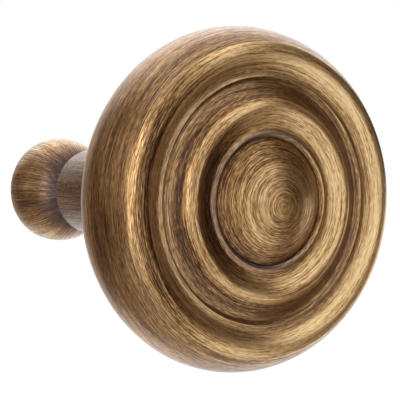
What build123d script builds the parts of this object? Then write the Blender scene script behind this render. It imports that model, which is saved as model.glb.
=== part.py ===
from build123d import *
import os
from math import cos, radians, sin, sqrt, tan

os.makedirs("parts", exist_ok=True)

# Curtain holdback: a turned disc on a round stem, whose ball foot stands on the wall.
# The wall face lies in the plane y = 0 and the holdback points along -Y.

# Ball foot and neck
ball_radius = 16.0
ball_centre_height = 2.7
foot_edge_chamfer = 0.4
neck_radius = 7.5
neck_length = 5.8

# Stem
stem_radius = 12.6
stem_length = 62.2
stem_edge_chamfer = 0.35

# Body of the disc
disc_radius = 42.5
back_edge_radius = 12.4
flank_radius = 18.2
step_height = 22.3

# Rings turned into the face: their widths from the rim inwards, which leave the dome its radius
rim_width = 7.1
cove_width = 5.7
step_width = 1.0
ridge_outer_width = 6.45
ridge_inner_width = 5.05
lip_width = 2.0

# Their rises from the foot of the step, and their forms
roll_radius = 3.4
roll_slope = 48.0
step_rise = 1.45
ridge_radius = 2.0
ridge_crest_rise = 4.5
ridge_outer_slope = 48.0
ridge_inner_slope = 42.0
lip_foot_rise = 2.7
lip_crest_rise = 3.1
dome_foot_rise = 2.35
dome_crest_rise = 8.05

# Wall fixing: a blind M6 thread, drawn as its tapping bore
wall_bore_radius = 2.5
wall_bore_depth = 18.0
drill_point_angle = 118.0

# M8 set stud that joins the stem to the disc, drawn without its thread
stud_radius = 4.0
stud_length = 28.0
stud_in_stem = 14.0
stud_chamfer = 1.0
stud_clearance = 0.05
stud_end_room = 1.0
socket_width = 4.0
socket_depth = 4.0

# Planes across the axis, as distances from the wall
stem_back = ball_centre_height + ball_radius + neck_length
disc_back = stem_back + stem_length
widest_plane = disc_back + back_edge_radius
step_plane = disc_back + step_height
stud_back = disc_back - stud_in_stem
stud_front = stud_back + stud_length
stud_bore_radius = stud_radius + stud_clearance
stud_bore_depth = stud_length - stud_in_stem + stud_end_room

# Radii of the rings
roll_crest_radius = disc_radius - rim_width
step_edge_radius = roll_crest_radius - cove_width
step_radius = step_edge_radius - step_width
ridge_crest_radius = step_radius - ridge_outer_width
lip_foot_radius = ridge_crest_radius - ridge_inner_width
dome_radius = lip_foot_radius - lip_width

# Turned profiles are drawn with x as the radius and y as the distance from the wall
turning_plane = Plane(origin=(0, 0, 0), x_dir=(1, 0, 0), z_dir=(0, 0, -1))


# Stem, turned in one piece with its neck and ball foot
foot_radius = sqrt(ball_radius**2 - ball_centre_height**2)
neck_back = ball_centre_height + sqrt(ball_radius**2 - neck_radius**2)
foot_edge = (foot_radius, 0)
neck_root = (neck_radius, neck_back)
neck_end = (neck_radius, stem_back)
stem_edge = (stem_radius, stem_back)
drill_point = wall_bore_radius / tan(radians(drill_point_angle / 2))

with BuildPart() as stem:
    with BuildSketch(turning_plane) as stem_profile:
        with BuildLine():
            Line((0, 0), foot_edge)
            RadiusArc(foot_edge, neck_root, -ball_radius)
            Polyline(neck_root, neck_end, stem_edge, (stem_radius, disc_back))
            Polyline((stem_radius, disc_back), (0, disc_back), (0, 0))
        make_face()
        chamfer(stem_profile.vertices().sort_by_distance(foot_edge)[0], foot_edge_chamfer)
        chamfer(stem_profile.vertices().sort_by_distance(stem_edge)[0], stem_edge_chamfer)
    revolve(axis=Axis.Y)
    with BuildSketch(turning_plane):
        with BuildLine():
            Polyline(
                (0, 0),
                (wall_bore_radius, 0),
                (wall_bore_radius, wall_bore_depth),
                (0, wall_bore_depth + drill_point),
                close=True,
            )
        make_face()
        with Locations((stud_bore_radius / 2, disc_back - stud_in_stem / 2)):
            Rectangle(stud_bore_radius, stud_in_stem)
    revolve(axis=Axis.Y, mode=Mode.SUBTRACT)
stem.part.label = "stem"
export_step(stem.part, "parts/stem.step")


# Disc: the round flank, the roll, the cove, the step, the ridge, the lip and the dome, from outside in
flank_centre = Vector(disc_radius - flank_radius, widest_plane)
roll_reach = flank_radius - rim_width
roll_height = sqrt((flank_radius - roll_radius) ** 2 - roll_reach**2)
roll_centre = Vector(roll_crest_radius, widest_plane + roll_height)
back_edge = (disc_radius - back_edge_radius, disc_back)
widest_edge = (disc_radius, widest_plane)
roll_start = flank_centre + (roll_centre - flank_centre).normalized() * flank_radius
roll_fall = Vector(-cos(radians(roll_slope)), -sin(radians(roll_slope)))
roll_end = roll_centre + Vector(roll_fall.Y, -roll_fall.X) * roll_radius
step_edge = (step_edge_radius, step_plane + step_rise)
step_foot = (step_radius, step_plane)

ridge_centre = Vector(ridge_crest_radius, step_plane + ridge_crest_rise - ridge_radius)
ridge_outer_fall = Vector(cos(radians(ridge_outer_slope)), -sin(radians(ridge_outer_slope)))
ridge_inner_fall = Vector(-cos(radians(ridge_inner_slope)), -sin(radians(ridge_inner_slope)))
ridge_start = ridge_centre + Vector(-ridge_outer_fall.Y, ridge_outer_fall.X) * ridge_radius
ridge_end = ridge_centre + Vector(ridge_inner_fall.Y, -ridge_inner_fall.X) * ridge_radius
lip_foot = (lip_foot_radius, step_plane + lip_foot_rise)
lip_crest = (dome_radius + lip_width / 2, step_plane + lip_crest_rise)
dome_foot = (dome_radius, step_plane + dome_foot_rise)
dome_tip = (0, step_plane + dome_crest_rise)

roll_crest = roll_centre + Vector(0, roll_radius)
ridge_crest = ridge_centre + Vector(0, ridge_radius)

with BuildPart() as face_disc:
    with BuildSketch(turning_plane):
        with BuildLine():
            Line((0, disc_back), back_edge)
            RadiusArc(back_edge, widest_edge, -back_edge_radius)
            RadiusArc(widest_edge, roll_start, -flank_radius)
            ThreePointArc(roll_start, roll_crest, roll_end)
            TangentArc(roll_end, step_edge, tangent=roll_fall)
            Line(step_edge, step_foot)
            TangentArc(ridge_start, step_foot, tangent=ridge_outer_fall)
            ThreePointArc(ridge_start, ridge_crest, ridge_end)
            TangentArc(ridge_end, lip_foot, tangent=ridge_inner_fall)
            Polyline(lip_foot, lip_crest, dome_foot)
            TangentArc(dome_tip, dome_foot, tangent=(1, 0))
            Line(dome_tip, (0, disc_back))
        make_face()
    revolve(axis=Axis.Y)
    with BuildSketch(turning_plane):
        with Locations((stud_bore_radius / 2, disc_back + stud_bore_depth / 2)):
            Rectangle(stud_bore_radius, stud_bore_depth)
    revolve(axis=Axis.Y, mode=Mode.SUBTRACT)
face_disc.part.label = "face_disc"
export_step(face_disc.part, "parts/face_disc.step")


# Joining stud, with a hexagon socket in the end that the disc is screwed onto
with BuildPart() as joining_stud:
    with BuildSketch(turning_plane):
        with Locations((stud_radius / 2, (stud_back + stud_front) / 2)):
            Rectangle(stud_radius, stud_length)
    revolve(axis=Axis.Y)
    chamfer(joining_stud.edges().filter_by(GeomType.CIRCLE), stud_chamfer)
    with BuildSketch(Plane.XZ.offset(stud_front)):
        RegularPolygon(radius=socket_width / 2, side_count=6, major_radius=False)
    extrude(amount=-socket_depth, mode=Mode.SUBTRACT)
joining_stud.part.label = "joining_stud"
export_step(joining_stud.part, "parts/joining_stud.step")
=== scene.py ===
from math import asin, cos, radians, sin, sqrt, tan

import bpy
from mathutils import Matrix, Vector


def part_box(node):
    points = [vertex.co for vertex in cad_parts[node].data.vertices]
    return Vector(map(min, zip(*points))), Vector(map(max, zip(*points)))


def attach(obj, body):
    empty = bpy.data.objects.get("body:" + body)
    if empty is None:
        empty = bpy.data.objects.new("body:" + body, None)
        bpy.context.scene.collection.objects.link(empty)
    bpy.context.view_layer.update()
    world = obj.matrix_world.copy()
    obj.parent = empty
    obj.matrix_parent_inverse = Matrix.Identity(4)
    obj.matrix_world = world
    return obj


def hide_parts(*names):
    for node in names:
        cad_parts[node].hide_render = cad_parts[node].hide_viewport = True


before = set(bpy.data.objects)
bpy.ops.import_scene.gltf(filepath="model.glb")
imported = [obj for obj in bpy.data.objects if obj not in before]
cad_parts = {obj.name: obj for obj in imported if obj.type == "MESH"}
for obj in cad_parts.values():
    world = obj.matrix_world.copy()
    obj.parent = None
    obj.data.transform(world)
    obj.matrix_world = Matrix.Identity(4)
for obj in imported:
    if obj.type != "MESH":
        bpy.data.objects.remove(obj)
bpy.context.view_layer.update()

# Curtain holdback: a turned disc on a round stem, whose ball foot stands on the wall.
# Metres. The wall face lies in the plane y = 0 and the holdback points along -Y.

# Ball foot, neck and stem
ball_radius = 0.0160
ball_centre_height = 0.0027
foot_edge_chamfer = 0.0004
neck_radius = 0.0075
stem_back = 0.0245
stem_radius = 0.0126
stem_edge_chamfer = 0.00035
wall_bore_radius = 0.0025
wall_bore_depth = 0.018
drill_point_angle = 118
stud_bore_radius = 0.00405
stud_in_stem = 0.014

# Disc
disc_back = -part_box("face_disc")[1].y
disc_radius = 0.0425
back_edge_radius = 0.0124
widest_plane = disc_back + back_edge_radius
flank_radius = 0.0182
stud_bore_depth = 0.015
step_plane = disc_back + 0.0223
roll_radius = 0.0034
roll_crest_radius = 0.0354
roll_slope = 48
step_radius = 0.0287
step_width = 0.0010
step_rise = 0.00145
ridge_radius = 0.0020
ridge_crest_radius = 0.02225
ridge_crest_rise = 0.0045
ridge_outer_slope = 48
ridge_inner_slope = 42
lip_width = 0.0020
lip_foot_rise = 0.0027
lip_crest_rise = 0.0031
dome_radius = 0.0152
dome_foot_rise = 0.00235
dome_crest_rise = 0.00805

# Mesh fineness. A crease sharper than broken_from gets a broken edge, and the faces are shaded
# as one smooth surface where they meet at less than smooth_below.
turns = 288
arc_step = radians(5)
fewest_arc_steps = 3
edge_break = 0.00010
edge_break_segments = 2
broken_from = radians(24)
smooth_below = radians(35)
merge_distance = 0.000002
start_size = 0.001


# Turned pieces. A profile is drawn point by point, as (radius, distance from the wall), and
# spun round the axis. It starts as a small square that is merged to its first point.
def on_profile(point):
    return Vector((point[0], -point[1], 0))


def start_profile(name, point):
    bpy.ops.object.select_all(action="DESELECT")
    bpy.ops.mesh.primitive_plane_add(size=start_size, location=on_profile(point))
    piece = bpy.context.object
    piece.name = name
    bpy.ops.object.mode_set(mode="EDIT")
    bpy.ops.mesh.merge(type="CENTER")
    return piece


def lines_to(here, *points):
    for point in points:
        bpy.ops.mesh.extrude_region_move(
            TRANSFORM_OT_translate={"value": on_profile(point) - on_profile(here)}
        )
        here = point
    return here


def arc_to(here, point, centre):
    before = on_profile(here) - on_profile(centre)
    after = on_profile(point) - on_profile(centre)
    sweep = before.xy.angle_signed(after.xy)
    bpy.ops.mesh.spin(
        steps=max(fewest_arc_steps, round(abs(sweep) / arc_step)),
        angle=sweep,
        center=on_profile(centre),
        axis=(0, 0, 1),
    )
    return point


def tangent_arc_centre(start, heading, end):
    """Centre of the arc that leaves start along heading and ends at end."""
    start, heading, end = Vector(start), Vector(heading).normalized(), Vector(end)
    chord = end - start
    normal = Vector((-heading.y, heading.x))
    return start + normal * (chord.length_squared / (2 * chord.dot(normal)))


def turn(piece, material):
    bpy.ops.mesh.select_all(action="SELECT")
    bpy.ops.mesh.spin(steps=turns, angle=radians(360), center=(0, 0, 0), axis=(0, 1, 0))
    bpy.ops.mesh.select_all(action="SELECT")
    bpy.ops.mesh.remove_doubles(threshold=merge_distance)
    bpy.ops.mesh.normals_make_consistent(inside=False)
    bpy.ops.object.mode_set(mode="OBJECT")
    edges = piece.modifiers.new("edge_break", "BEVEL")
    edges.width = edge_break
    edges.segments = edge_break_segments
    edges.limit_method = "ANGLE"
    edges.angle_limit = broken_from
    bpy.ops.object.modifier_apply(modifier=edges.name)
    bpy.ops.object.shade_smooth_by_angle(angle=smooth_below)
    bpy.ops.object.transform_apply(location=True, rotation=True, scale=True)
    piece.data.materials.clear()
    piece.data.materials.append(material)
    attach(piece, "root")


def make_stem(material):
    """The wall bore, the ball foot, the neck, the stem and the bore for the stud."""
    foot_radius = sqrt(ball_radius**2 - ball_centre_height**2)
    foot_angle = asin(ball_centre_height / ball_radius)
    chamfer_angle = foot_angle - foot_edge_chamfer / ball_radius
    ball_start = (
        ball_radius * cos(chamfer_angle),
        ball_centre_height - ball_radius * sin(chamfer_angle),
    )
    neck_back = ball_centre_height + sqrt(ball_radius**2 - neck_radius**2)
    drill_point = wall_bore_radius / tan(radians(drill_point_angle / 2))

    here = (0, wall_bore_depth + drill_point)
    stem = start_profile("turned_stem", here)
    here = lines_to(
        here,
        (wall_bore_radius, wall_bore_depth),
        (wall_bore_radius, 0),
        (foot_radius - foot_edge_chamfer, 0),
        ball_start,
    )
    here = arc_to(here, (neck_radius, neck_back), (0, ball_centre_height))
    lines_to(
        here,
        (neck_radius, stem_back),
        (stem_radius - stem_edge_chamfer, stem_back),
        (stem_radius, stem_back + stem_edge_chamfer),
        (stem_radius, disc_back),
        (stud_bore_radius, disc_back),
        (stud_bore_radius, disc_back - stud_in_stem),
        (0, disc_back - stud_in_stem),
    )
    turn(stem, material)
    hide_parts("stem")


def make_face_disc(material):
    """The bore for the stud, the back, the flank, the roll, the cove, the step, the ridge, the
    lip and the dome."""
    flank_centre = Vector((disc_radius - flank_radius, widest_plane))
    roll_reach = roll_crest_radius - flank_centre.x
    roll_rise = sqrt((flank_radius - roll_radius) ** 2 - roll_reach**2)
    roll_centre = Vector((roll_crest_radius, widest_plane + roll_rise))
    roll_start = flank_centre + (roll_centre - flank_centre).normalized() * flank_radius
    roll_fall = Vector((-cos(radians(roll_slope)), -sin(radians(roll_slope))))
    roll_end = roll_centre + Vector((roll_fall.y, -roll_fall.x)) * roll_radius
    step_edge = (step_radius + step_width, step_plane + step_rise)
    step_foot = (step_radius, step_plane)
    ridge_centre = Vector((ridge_crest_radius, step_plane + ridge_crest_rise - ridge_radius))
    outer_fall = Vector((cos(radians(ridge_outer_slope)), -sin(radians(ridge_outer_slope))))
    inner_fall = Vector((-cos(radians(ridge_inner_slope)), -sin(radians(ridge_inner_slope))))
    ridge_start = ridge_centre + Vector((-outer_fall.y, outer_fall.x)) * ridge_radius
    ridge_end = ridge_centre + Vector((inner_fall.y, -inner_fall.x)) * ridge_radius
    lip_foot = (dome_radius + lip_width, step_plane + lip_foot_rise)
    lip_crest = (dome_radius + lip_width / 2, step_plane + lip_crest_rise)
    dome_foot = (dome_radius, step_plane + dome_foot_rise)
    dome_tip = (0, step_plane + dome_crest_rise)

    here = (0, disc_back + stud_bore_depth)
    disc = start_profile("turned_disc", here)
    here = lines_to(
        here,
        (stud_bore_radius, disc_back + stud_bore_depth),
        (stud_bore_radius, disc_back),
        (disc_radius - back_edge_radius, disc_back),
    )
    here = arc_to(here, (disc_radius, widest_plane), (disc_radius - back_edge_radius, widest_plane))
    here = arc_to(here, roll_start, flank_centre)
    here = arc_to(here, roll_end, roll_centre)
    here = arc_to(here, step_edge, tangent_arc_centre(roll_end, roll_fall, step_edge))
    here = lines_to(here, step_foot)
    here = arc_to(here, ridge_start, tangent_arc_centre(ridge_start, outer_fall, step_foot))
    here = arc_to(here, ridge_end, ridge_centre)
    here = arc_to(here, lip_foot, tangent_arc_centre(ridge_end, inner_fall, lip_foot))
    here = lines_to(here, lip_crest, dome_foot)
    arc_to(here, dome_tip, tangent_arc_centre(dome_tip, (1, 0), dome_foot))
    turn(disc, material)
    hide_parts("face_disc")


# Finishes
def grey(level):
    return (level, level, level, 1)


class Finish:
    """A material, or the room's light, and short ways to add nodes to it."""

    def __init__(self, material):
        self.material = material
        material.use_nodes = True
        self.tree = material.node_tree
        self.shader = self.tree.nodes.get("Principled BSDF")

    def put(self, socket, value):
        if isinstance(value, bpy.types.NodeSocket):
            self.tree.links.new(value, socket)
        else:
            socket.default_value = value

    def node(self, kind, inputs=(), **settings):
        made = self.tree.nodes.new(kind)
        for key, value in settings.items():
            setattr(made, key, value)
        for key, value in dict(inputs).items():
            self.put(made.inputs[key], value)
        return made

    def math(self, operation, first, *others):
        for other in others:
            made = self.node("ShaderNodeMath", {0: first, 1: other}, operation=operation)
            first = made.outputs[0]
        return first

    def combine(self, x, y, z):
        return self.node("ShaderNodeCombineXYZ", {0: x, 1: y, 2: z}).outputs[0]

    def separate(self, vector):
        return self.node("ShaderNodeSeparateXYZ", {0: vector}).outputs

    def length(self, x, y, z):
        vector = self.combine(x, y, z)
        return self.node("ShaderNodeVectorMath", {0: vector}, operation="LENGTH").outputs["Value"]

    def along(self, vector, axis):
        return self.node(
            "ShaderNodeVectorMath", {0: vector, 1: axis}, operation="DOT_PRODUCT"
        ).outputs["Value"]

    def noise(self, vector, w, detail):
        return self.node(
            "ShaderNodeTexNoise",
            {"Vector": vector, "W": w, "Scale": 1.0, "Detail": detail},
            noise_dimensions="4D",
        ).outputs["Fac"]

    def ramp(self, factor, stops):
        made = self.node("ShaderNodeValToRGB", {"Fac": factor})
        elements = made.color_ramp.elements
        while len(elements) < len(stops):
            elements.new(0.5)
        for element, (place, colour) in zip(elements, sorted(stops)):
            element.position = place
            element.color = (*colour, 1) if isinstance(colour, tuple) else grey(colour)
        return made.outputs["Color"]

    def remap(self, value, low, high, to_low=0.0, to_high=1.0):
        ends = {"From Min": low, "From Max": high, "To Min": to_low, "To Max": to_high}
        return self.node("ShaderNodeMapRange", {"Value": value, **ends}).outputs[0]

    def mix(self, factor, first, second):
        # Sockets 6 and 7 are the two colours, and output 2 is their mix
        colours = {"Factor": factor, 6: first, 7: second}
        return self.node("ShaderNodeMix", colours, data_type="RGBA").outputs[2]


# Antique brass: gold where it is rubbed, brown patina where it isn't, under a clear lacquer.
# brass_tones runs from the deepest patina to brightest_tone.
brass_tones = [
    (0.00, (0.018, 0.005, 0.001)),
    (0.20, (0.075, 0.028, 0.006)),
    (0.40, (0.230, 0.112, 0.034)),
    (0.60, (0.470, 0.285, 0.115)),
    (0.80, (0.740, 0.500, 0.240)),
    (1.00, (0.880, 0.640, 0.340)),
]
brightest_tone = 1.25
metal_share = 0.9
lacquer_share = 0.26
lacquer_roughness = 0.28
patina_tone, patina_roughness = 0.2, 0.40
rubbed_tone, rubbed_roughness = 0.9, 0.28

# Brushing: width and length of the marks, and how far each kind moves the tone. They run round
# the disc, about a centre that lies swirl_drop low on the dome, and along the stem.
brush_marks = [
    (0.00015, 0.0016, 1.30),
    (0.00025, 0.0110, 1.20),
    (0.00080, 0.0160, 0.38),
    (0.00260, 0.0260, 0.42),
]
mark_detail = 1.0
mark_relief = 0.25
mark_depth = 0.00004
flank_marks_share = 0.85
stem_marks_share = 0.95
swirl_drop = 0.0012

# The marks narrow with the ball down to this radius, and keep their width nearer to the axis
ball_mark_radius = 0.0085

# Tone of each ring of the face, from the middle of the dome to the rim. It is partly the patina
# left in the hollows and the gold rubbed on the crests, and partly painted highlights and painted
# shade, set ring by ring to where the light falls. The second table does the same on the left, with
# that side's own painted highlights and shade. Sides are x over the radius.
rubbed_and_painted_light_rings = [
    (0.0000, 0.68),
    (0.0090, 0.66),
    (0.0126, 0.56),
    (0.0145, 0.44),
    (0.0152, 0.00),
    (0.0156, 0.50),
    (0.0168, 0.66),
    (0.0186, 0.84),
    (0.0222, 0.88),
    (0.0236, 0.80),
    (0.0246, 0.46),
    (0.0262, 0.24),
    (0.0280, 0.12),
    (0.0289, 0.00),
    (0.0294, 0.80),
    (0.0302, 1.00),
    (0.0325, 0.98),
    (0.0345, 1.00),
    (0.0368, 0.92),
    (0.0378, 0.80),
    (0.0386, 0.30),
    (0.0391, 0.34),
    (0.0398, 0.64),
    (0.0408, 0.50),
]
rubbed_and_painted_light_left = [
    (0.0000, 0.68),
    (0.0090, 0.70),
    (0.0126, 0.54),
    (0.0145, 0.36),
    (0.0152, 0.30),
    (0.0156, 0.50),
    (0.0168, 0.52),
    (0.0176, 0.16),
    (0.0196, 0.30),
    (0.0214, 0.44),
    (0.0226, 0.66),
    (0.0240, 0.66),
    (0.0247, 0.44),
    (0.0256, 0.26),
    (0.0272, 0.04),
    (0.0286, 0.00),
    (0.0293, 0.10),
    (0.0297, 0.90),
    (0.0302, 1.00),
    (0.0330, 1.00),
    (0.0338, 0.60),
    (0.0350, 0.30),
    (0.0370, 0.36),
    (0.0380, 0.70),
    (0.0386, 0.95),
    (0.0393, 0.95),
    (0.0398, 0.56),
    (0.0406, 0.48),
]
# Left side, as x over the radius, where the painted highlights and shade of the left table take
# over
painted_light_left_side = (-0.85, -0.35)
face_edge = (widest_plane + 0.0105, widest_plane + 0.0125)
worn_flank = 0.53

# How far the stem's piece is rubbed, by radius: the neck not at all, the stem in part, and the ball
# most. The darkening towards the neck and the stem is mostly painted shade, where the ball runs in
# under the stem, with some patina in the recess
worn_ball = 0.64
neck_painted_shade_tone = 0.00
painted_shade_neck_radius = 0.0094
ball_rubbed_radius = 0.0146

# Lilac-grey in the lacquer, partly haze and partly painted sheen, a white reflection laid over the
# dark patina. It lies in patches drawn out along the brushing, a little all over the flank and the
# stem, and as painted highlights on the edges of the lip and the step, other than on the right
lilac_grey = (0.235, 0.195, 0.195, 1)
patch_haze_and_sheen = 0.24
patch_width = 0.0009
patch_detail = 2.0
disc_patch_length = 0.02
disc_patches = (0.55, 0.78)
stem_patch_length = 0.012
stem_patches = (0.50, 0.75)
stem_patch_seed = 3.0
flank_haze_and_sheen = 0.08
stem_haze_and_sheen = 0.14
lip_painted_highlight = [(0.0152, 0.0), (0.0158, 0.36), (0.0166, 0.36), (0.0175, 0.0)]
step_painted_highlight = [(0.0290, 0.0), (0.0296, 0.24), (0.0302, 0.24), (0.0312, 0.0)]
painted_highlight_side = (0.2, 0.9)

# Steel of the stud: fine turning marks round it
turning_pitch = 0.0002
turning_width = 0.006
turning_detail = 2.0
turning_grain = (0.3, 0.7)
steel_shades = [(0.42, 0.43, 0.45), (0.60, 0.61, 0.63)]
steel_roughness = (0.28, 0.40)


def object_coordinates(finish):
    place = finish.node("ShaderNodeTexCoord").outputs["Object"]
    return finish.separate(place)


def brush_streaks(finish, mark_place):
    """The marks of all widths, laid over each other."""
    layers = []
    for pitch, length, strength in brush_marks:
        layer = finish.noise(*mark_place(pitch, length), mark_detail)
        layers.append(finish.remap(layer, 0.0, 1.0, -strength / 2, strength / 2))
    return finish.math("ADD", *layers)


def brushed(finish, streaks, rubbed_and_painted_light, haze_and_sheen):
    """Brass under patina, with the brushing through it. The tone carries painted highlights and
    painted shade, and the lilac-grey mixed in is partly painted sheen.
    """
    sockets = finish.shader.inputs
    tone = finish.math("ADD", streaks, rubbed_and_painted_light)
    colour = finish.ramp(finish.math("DIVIDE", tone, brightest_tone), brass_tones)
    # Painted sheen: lilac-grey mixed into the colour where there is haze and sheen
    finish.put(sockets["Base Color"], finish.mix(haze_and_sheen, colour, lilac_grey))
    sockets["Metallic"].default_value = metal_share
    sockets["Coat Weight"].default_value = lacquer_share
    sockets["Coat Roughness"].default_value = lacquer_roughness
    gloss = finish.remap(tone, patina_tone, rubbed_tone, patina_roughness, rubbed_roughness)
    finish.put(sockets["Roughness"], gloss)
    relief = finish.node(
        "ShaderNodeBump", {"Height": streaks, "Strength": mark_relief, "Distance": mark_depth}
    )
    finish.put(sockets["Normal"], relief.outputs[0])
    return finish.material


def disc_finish():
    finish = Finish(bpy.data.materials.new("brass_brushed_round"))
    x, y, z = object_coordinates(finish)
    radius = finish.length(x, 0.0, z)
    side = finish.math("DIVIDE", x, radius)
    ring = finish.math("DIVIDE", radius, disc_radius)
    front = finish.math("MULTIPLY", y, -1.0)
    on_face = finish.remap(front, *face_edge)
    drop = finish.remap(radius, 0.0, dome_radius, swirl_drop, 0.0)
    brush_radius = finish.length(x, 0.0, finish.math("ADD", z, drop))

    def mark_place(pitch, length):
        place = finish.combine(
            finish.math("DIVIDE", x, length),
            finish.math("DIVIDE", z, length),
            finish.math("DIVIDE", brush_radius, pitch),
        )
        return place, finish.math("DIVIDE", y, pitch)

    def by_ring(levels):
        return finish.ramp(ring, [(place / disc_radius, level) for place, level in levels])

    marks_share = finish.remap(on_face, 0.0, 1.0, flank_marks_share, 1.0)
    streaks = finish.math("MULTIPLY", brush_streaks(finish, mark_place), marks_share)

    # Painted light: on the left the face takes its own table of painted highlights and painted
    # shade
    on_left = finish.remap(side, *painted_light_left_side, 1.0, 0.0)
    face = finish.mix(on_left, by_ring(rubbed_and_painted_light_rings), by_ring(rubbed_and_painted_light_left))
    rubbed_and_painted_light = finish.mix(on_face, grey(worn_flank), face)

    patch_place = finish.combine(
        finish.math("DIVIDE", x, disc_patch_length),
        finish.math("DIVIDE", z, disc_patch_length),
        finish.math("DIVIDE", radius, patch_width),
    )
    patches = finish.noise(patch_place, finish.math("DIVIDE", y, patch_width), patch_detail)
    patches = finish.remap(patches, *disc_patches, 0.0, patch_haze_and_sheen)
    # Painted highlights on the edges of the lip and the step, left out on the right side
    highlight_side = finish.math("MULTIPLY", on_face, finish.remap(side, *painted_highlight_side, 1.0, 0.0))
    edges = finish.math("MULTIPLY", by_ring(lip_painted_highlight + step_painted_highlight), highlight_side)
    flank = finish.remap(on_face, 0.0, 1.0, flank_haze_and_sheen, 0.0)
    return brushed(finish, streaks, rubbed_and_painted_light, finish.math("ADD", patches, edges, flank))


def stem_finish():
    finish = Finish(bpy.data.materials.new("brass_brushed_lengthwise"))
    x, y, z = object_coordinates(finish)
    radius = finish.length(x, 0.0, z)
    mark_radius = finish.math("MAXIMUM", radius, ball_mark_radius)
    around_x = finish.math("DIVIDE", x, mark_radius)
    around_z = finish.math("DIVIDE", z, mark_radius)

    def mark_place(pitch, length):
        place = finish.combine(
            finish.math("MULTIPLY", around_x, stem_radius / pitch),
            finish.math("MULTIPLY", around_z, stem_radius / pitch),
            finish.math("DIVIDE", y, length),
        )
        return place, 0.0

    streaks = finish.math("MULTIPLY", brush_streaks(finish, mark_place), stem_marks_share)
    # Painted shade: darker towards the neck, where the ball runs in under the stem
    rubbed_and_painted_light = finish.remap(radius, painted_shade_neck_radius, ball_rubbed_radius, neck_painted_shade_tone, worn_ball)
    patch_place = finish.combine(
        finish.math("DIVIDE", x, patch_width),
        finish.math("DIVIDE", z, patch_width),
        finish.math("DIVIDE", y, stem_patch_length),
    )
    patches = finish.noise(patch_place, stem_patch_seed, patch_detail)
    patches = finish.remap(patches, *stem_patches, 0.0, patch_haze_and_sheen)
    return brushed(finish, streaks, rubbed_and_painted_light, finish.math("ADD", patches, stem_haze_and_sheen))


def stud_finish():
    finish = Finish(bpy.data.materials.new("stud_steel_turned"))
    x, y, z = object_coordinates(finish)
    place = finish.combine(
        finish.math("DIVIDE", x, turning_width),
        finish.math("DIVIDE", y, turning_pitch),
        finish.math("DIVIDE", z, turning_width),
    )
    grain = finish.noise(place, 0.0, turning_detail)
    sockets = finish.shader.inputs
    finish.put(sockets["Base Color"], finish.ramp(grain, list(zip(turning_grain, steel_shades))))
    sockets["Metallic"].default_value = 1.0
    finish.put(sockets["Roughness"], finish.remap(grain, *turning_grain, *steel_roughness))
    return finish.material


# Camera, at the photograph's viewing angle: its direction, its distance from the step's centre,
# and how far that centre lies to the right of the middle of the picture and below it
view_azimuth = radians(-34.1)
view_elevation = radians(2.3)
view_distance = 0.2755
centre_to_right = 0.01529
centre_below = 0.00024
focal_pixels = 1150
picture_pixels = 400
sensor_width = 36.0
nearest_seen = 0.01

camera_right = Vector((cos(view_azimuth), sin(view_azimuth), 0))
camera_back = Vector(
    (
        sin(view_azimuth) * cos(view_elevation),
        -cos(view_azimuth) * cos(view_elevation),
        sin(view_elevation),
    )
)

# Studio: a pale floor far below and a white surround. The metal mirrors a wide soft light in
# front of it, light behind it and above it that is dimmer at the back on the left, where the
# stem mirrors, and dim walls to its sides. Pairs are the two ends of a light's soft edge, given
# as parts of a direction of length one. What is dimmer than full_light turns to warm_shade.
white = grey(1)
warm_shade = (1.0, 0.62, 0.34, 1)
full_light = 0.9

# Light in front: its left, right and rear edge, and its level in the surround and on the floor
front_left = (-0.92, -0.84)
front_right = (0.46, 0.66)
front_depth = (0.0, 0.25)
front_level = 1.05
front_floor_level = 0.95

# Light behind, which brightens upwards to above_level. Higher up it reaches further round, and
# most of all to the left, and low on the right it is cut back.
behind_edge = (0.35, 0.65)
behind_level = 1.0
above_level = 2.1
above_height = 0.6
behind_reach_up = 0.2
behind_reach_left = 0.5
behind_cut_low_right = 1.5
behind_cut_height = 0.5
back_left = radians(-146)
back_left_spread = (0.55, 0.90)
back_left_level = 0.42

# Walls, which dim from left to right and towards the back, and the ceiling
wall_sides = (-0.8, 0.5)
wall_left_level = 0.55
wall_right_level = 0.06
wall_depth = (0.2, 0.8)
wall_back_share = 0.35
ceiling_edge = (sin(radians(46)), sin(radians(66)))
ceiling_level = 1.4

# Floor. The camera sees it almost white, and the metal mirrors the lights in it, with a
# lighter patch below the holdback that fades out over floor_below_spread, in metres.
floor_size = 60
floor_drop = 0.45
floor_paleness = 0.92
floor_seen_share = 0.93
floor_glow = 1.035
floor_level = 0.15
floor_below_level = 0.80
floor_below_spread = (0.1, 0.8)
behind_floor_level = 1.3
behind_floor_edge = (0.0, 0.7)

# Lamp that gives the highlights on the left
key_lamp_place = Vector((-0.93, -0.57, 0.10))
key_lamp_size = (0.25, 1.4)
key_lamp_watts = 3.6
holdback_middle = Vector((0, -0.1, 0))


def front_light(finish, x, y, z):
    """Share of the front light that is met in a direction."""
    length = finish.length(x, y, z)
    across = finish.math("DIVIDE", x, length)
    forward = finish.math("MULTIPLY", finish.math("DIVIDE", y, length), -1.0)
    left = finish.remap(across, *front_left)
    right = finish.remap(across, *front_right, 1.0, 0.0)
    return finish.math("MINIMUM", left, right, finish.remap(forward, *front_depth))


def dim_back_left(finish, level, x, y, z):
    """The level with less of it at the back on the left, where the stem mirrors."""
    towards = finish.along(finish.combine(x, y, z), (sin(back_left), -cos(back_left), 0))
    towards = finish.math("DIVIDE", towards, finish.length(x, y, z))
    share = finish.remap(towards, *back_left_spread, 1.0, back_left_level)
    return finish.math("MULTIPLY", level, share)


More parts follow.
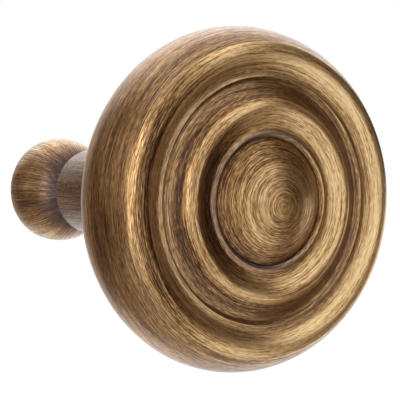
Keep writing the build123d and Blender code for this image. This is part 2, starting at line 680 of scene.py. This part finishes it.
def make_surround():
    world = bpy.data.worlds.new("white_surround")
    bpy.context.scene.world = world
    room = Finish(world)
    direction = room.node("ShaderNodeTexCoord").outputs["Generated"]
    across, backwards, height = room.separate(direction)

    to_right = room.along(direction, camera_right)
    low = room.remap(height, 0.0, behind_cut_height, behind_cut_low_right, 0.0)
    off_to_right = room.math("MULTIPLY", room.math("MAXIMUM", to_right, 0.0), low)
    above = room.math("MAXIMUM", height, 0.0)
    raised = room.math("MULTIPLY", to_right, behind_reach_left)
    raised = room.math("SUBTRACT", behind_reach_up, raised)
    raised = room.math("MULTIPLY", raised, room.math("MULTIPLY", above, above))
    behind = room.math("ADD", room.along(direction, -camera_back), raised)
    behind = room.remap(room.math("SUBTRACT", behind, off_to_right), *behind_edge)
    brighter = room.remap(height, 0.0, above_height, behind_level, above_level)
    behind = room.math("MULTIPLY", behind, brighter)
    behind = dim_back_left(room, behind, across, backwards, height)

    walls = room.remap(across, *wall_sides, wall_left_level, wall_right_level)
    walls_share = room.remap(backwards, *wall_depth, 1.0, wall_back_share)
    walls = room.math("MULTIPLY", walls, walls_share)
    ceiling = room.remap(height, *ceiling_edge, 0.0, ceiling_level)
    front = front_light(room, across, backwards, height)
    front = room.math("MULTIPLY", front, front_level)
    mirrored = room.math("MAXIMUM", behind, front, walls, ceiling)

    seen = room.node("ShaderNodeLightPath").outputs["Is Camera Ray"]
    lit = room.math("MAXIMUM", seen, room.remap(mirrored, 0.0, full_light))
    background = room.tree.nodes["Background"].inputs
    room.put(background["Color"], room.mix(lit, warm_shade, white))
    room.put(background["Strength"], room.remap(seen, 0.0, 1.0, mirrored, 1.0))


def floor_finish():
    finish = Finish(bpy.data.materials.new("pale_floor"))
    finish.shader.inputs["Base Color"].default_value = grey(floor_paleness)
    finish.shader.inputs["Roughness"].default_value = 1.0
    finish.shader.inputs["Specular IOR Level"].default_value = 0.0
    x, y, _ = object_coordinates(finish)
    distance = finish.length(x, y, 0.0)
    front = finish.math("MULTIPLY", front_light(finish, x, y, -floor_drop), front_floor_level)
    away = finish.math(
        "SUBTRACT",
        finish.math("MULTIPLY", x, -camera_back.x),
        finish.math("MULTIPLY", y, camera_back.y),
    )
    away = finish.remap(finish.math("DIVIDE", away, distance), *behind_floor_edge)
    behind = finish.math("MULTIPLY", away, behind_floor_level)
    behind = dim_back_left(finish, behind, x, y, -floor_drop)
    below = finish.remap(distance, *floor_below_spread, floor_below_level, floor_level)
    mirrored = finish.math("MAXIMUM", front, behind, below)

    path = finish.node("ShaderNodeLightPath").outputs
    seen = path["Is Camera Ray"]
    lit = finish.math("MAXIMUM", seen, finish.remap(mirrored, 0.0, full_light))
    strength = finish.remap(seen, 0.0, 1.0, mirrored, floor_glow)
    glow = finish.node(
        "ShaderNodeEmission", {"Color": finish.mix(lit, warm_shade, white), "Strength": strength}
    )
    glow_share = finish.math(
        "MAXIMUM", finish.math("MULTIPLY", seen, floor_seen_share), path["Is Glossy Ray"]
    )
    blend = finish.node(
        "ShaderNodeMixShader", {0: glow_share, 1: finish.shader.outputs[0], 2: glow.outputs[0]}
    )
    finish.put(finish.tree.nodes["Material Output"].inputs["Surface"], blend.outputs[0])
    return finish.material


def make_floor():
    bpy.ops.object.select_all(action="DESELECT")
    bpy.ops.mesh.primitive_plane_add(size=floor_size, location=(0, 0, -floor_drop))
    floor = bpy.context.object
    floor.name = "studio_floor"
    floor.data.materials.append(floor_finish())


def make_key_lamp():
    lamp = bpy.data.lights.new("key_lamp", "AREA")
    lamp.shape = "RECTANGLE"
    lamp.size, lamp.size_y = key_lamp_size
    lamp.energy = key_lamp_watts
    holder = bpy.data.objects.new("key_lamp", lamp)
    holder.location = key_lamp_place
    aim = holdback_middle - key_lamp_place
    holder.rotation_euler = aim.to_track_quat("-Z", "Y").to_euler()
    bpy.context.scene.collection.objects.link(holder)


def make_camera():
    lens = bpy.data.cameras.new("camera")
    lens.sensor_width = sensor_width
    lens.lens = focal_pixels * sensor_width / picture_pixels
    lens.clip_start = nearest_seen
    camera = bpy.data.objects.new("camera", lens)
    camera_up = camera_back.cross(camera_right)
    aim = Vector((0, -step_plane, 0)) - camera_right * centre_to_right + camera_up * centre_below
    camera.location = aim + camera_back * view_distance
    camera.rotation_mode = "QUATERNION"
    camera.rotation_quaternion = (-camera_back).to_track_quat("-Z", "Y")
    bpy.context.scene.collection.objects.link(camera)
    bpy.context.scene.camera = camera


make_camera()
make_surround()
make_floor()
make_key_lamp()

make_stem(stem_finish())
make_face_disc(disc_finish())
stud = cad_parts["joining_stud"]
stud.data.materials.clear()
stud.data.materials.append(stud_finish())

bpy.context.scene.view_settings.view_transform = "Standard"
